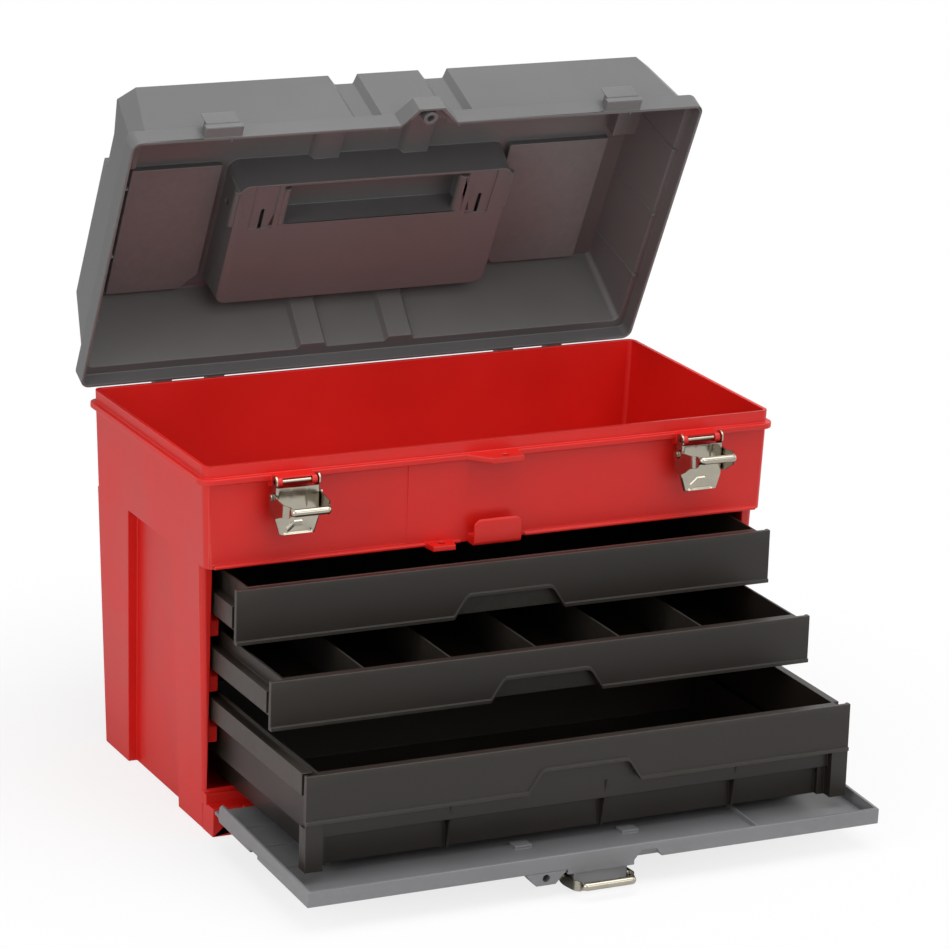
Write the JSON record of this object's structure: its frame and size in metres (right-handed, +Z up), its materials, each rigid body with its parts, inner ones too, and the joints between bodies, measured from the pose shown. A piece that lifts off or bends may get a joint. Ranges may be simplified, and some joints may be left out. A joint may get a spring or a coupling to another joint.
{
  "type": "portable tool box with drawers",
  "caption": "Portable plastic tool box with a hinged lid and folding handle over a deep tray, sliding drawers below, a drop-down front panel and sheet-metal draw latches.",
  "frame": {"origin": "on the ground, below the middle of the tray's rim", "axes": "+X to the right seen from the front, +Y from front to back, +Z up; -Y is the front, to which the drawers and the front panel open"},
  "size_m": [0.4854, 0.514, 0.5343],
  "materials": {
    "red_body": "moulded polypropylene, satin",
    "grey_lid": "moulded polypropylene, satin",
    "grey_handle": "moulded polypropylene, satin",
    "grey_panel": "moulded polypropylene, satin",
    "black_drawers": "moulded polystyrene, satin",
    "black_dividers": "moulded polystyrene, satin",
    "latch_steel": "pressed sheet, bright nickel plate",
    "bail_steel": "rolled sheet, bright nickel plate",
    "steel_pins": "plain drawn wire"
  },
  "bodies": {
    "body": {"body": "red_body", "lid_hinge_pins": "steel_pins", "panel_hinge_pins": "steel_pins", "left_latch_pin": "steel_pins", "right_latch_pin": "steel_pins"},
    "lid": {"lid": "grey_lid", "handle_pins": "steel_pins"},
    "handle": {"carry_handle": "grey_handle"},
    "front_panel": {"front_panel": "grey_panel", "panel_latch_lug": "grey_panel", "panel_padlock_ear": "grey_panel", "panel_latch_pin": "steel_pins"},
    "top_drawer": {"top_drawer": "black_drawers", "top_front": "black_drawers", "top_runners": "black_drawers"},
    "middle_drawer": {"middle_drawer": "black_drawers", "drawer_dividers": "black_dividers"},
    "bottom_drawer": {"bottom_drawer": "black_drawers"},
    "left_lever": {"left_lever": "latch_steel", "left_rivets": "steel_pins"},
    "left_bail": {"left_bail": "bail_steel"},
    "right_lever": {"right_lever": "latch_steel", "right_rivets": "steel_pins"},
    "right_bail": {"right_bail": "bail_steel"},
    "panel_lever": {"panel_lever": "latch_steel", "panel_rivets": "steel_pins"},
    "panel_bail": {"panel_bail": "bail_steel"}
  },
  "joints": [
    {"name": "lid_hinge", "type": "hinge", "parent": "body", "child": "lid", "pos_m": [0, 0.1295, 0.2766], "axis": [1, 0, 0], "range_deg": [-36, 63.4]},
    {"name": "handle_hinge", "type": "hinge", "parent": "lid", "child": "handle", "pos_m": [-0.0042, 0.12641, 0.43107], "axis": [1, 0, 0], "range_deg": [0, 105]},
    {"name": "panel_hinge", "type": "hinge", "parent": "body", "child": "front_panel", "pos_m": [0, -0.124, 0.0175], "axis": [-1, 0, 0], "range_deg": [0, 1.8]},
    {"name": "top_drawer_slide", "type": "slide", "parent": "body", "child": "top_drawer", "axis": [0, 1, 0], "range_m": [-0.1401, 0.0419]},
    {"name": "middle_drawer_slide", "type": "slide", "parent": "body", "child": "middle_drawer", "axis": [0, 1, 0], "range_m": [-0.0728, 0.1092]},
    {"name": "bottom_drawer_slide", "type": "slide", "parent": "body", "child": "bottom_drawer", "axis": [0, 1, 0], "range_m": [-0.0053, 0.1767]},
    {"name": "left_lever_hinge", "type": "hinge", "parent": "body", "child": "left_lever", "pos_m": [-0.1695, -0.129, 0.2793], "axis": [1, 0, 0], "range_deg": [-140, 0]},
    {"name": "left_bail_hinge", "type": "hinge", "parent": "left_lever", "child": "left_bail", "pos_m": [-0.1695, -0.128, 0.2675], "axis": [-1, 0, 0], "range_deg": [-42, 96]},
    {"name": "right_lever_hinge", "type": "hinge", "parent": "body", "child": "right_lever", "pos_m": [0.1695, -0.129, 0.2793], "axis": [1, 0, 0], "range_deg": [-140, 0]},
    {"name": "right_bail_hinge", "type": "hinge", "parent": "right_lever", "child": "right_bail", "pos_m": [0.1695, -0.128, 0.2675], "axis": [-1, 0, 0], "range_deg": [-55, 83]},
    {"name": "panel_lever_hinge", "type": "hinge", "parent": "front_panel", "child": "panel_lever", "pos_m": [0, -0.31078, 0.00763], "axis": [1, 0, 0], "range_deg": [-25, 0]},
    {"name": "panel_bail_hinge", "type": "hinge", "parent": "panel_lever", "child": "panel_bail", "pos_m": [0, -0.29902, 0.009], "axis": [-1, 0, 0], "range_deg": [-135, 5]}
  ]
}
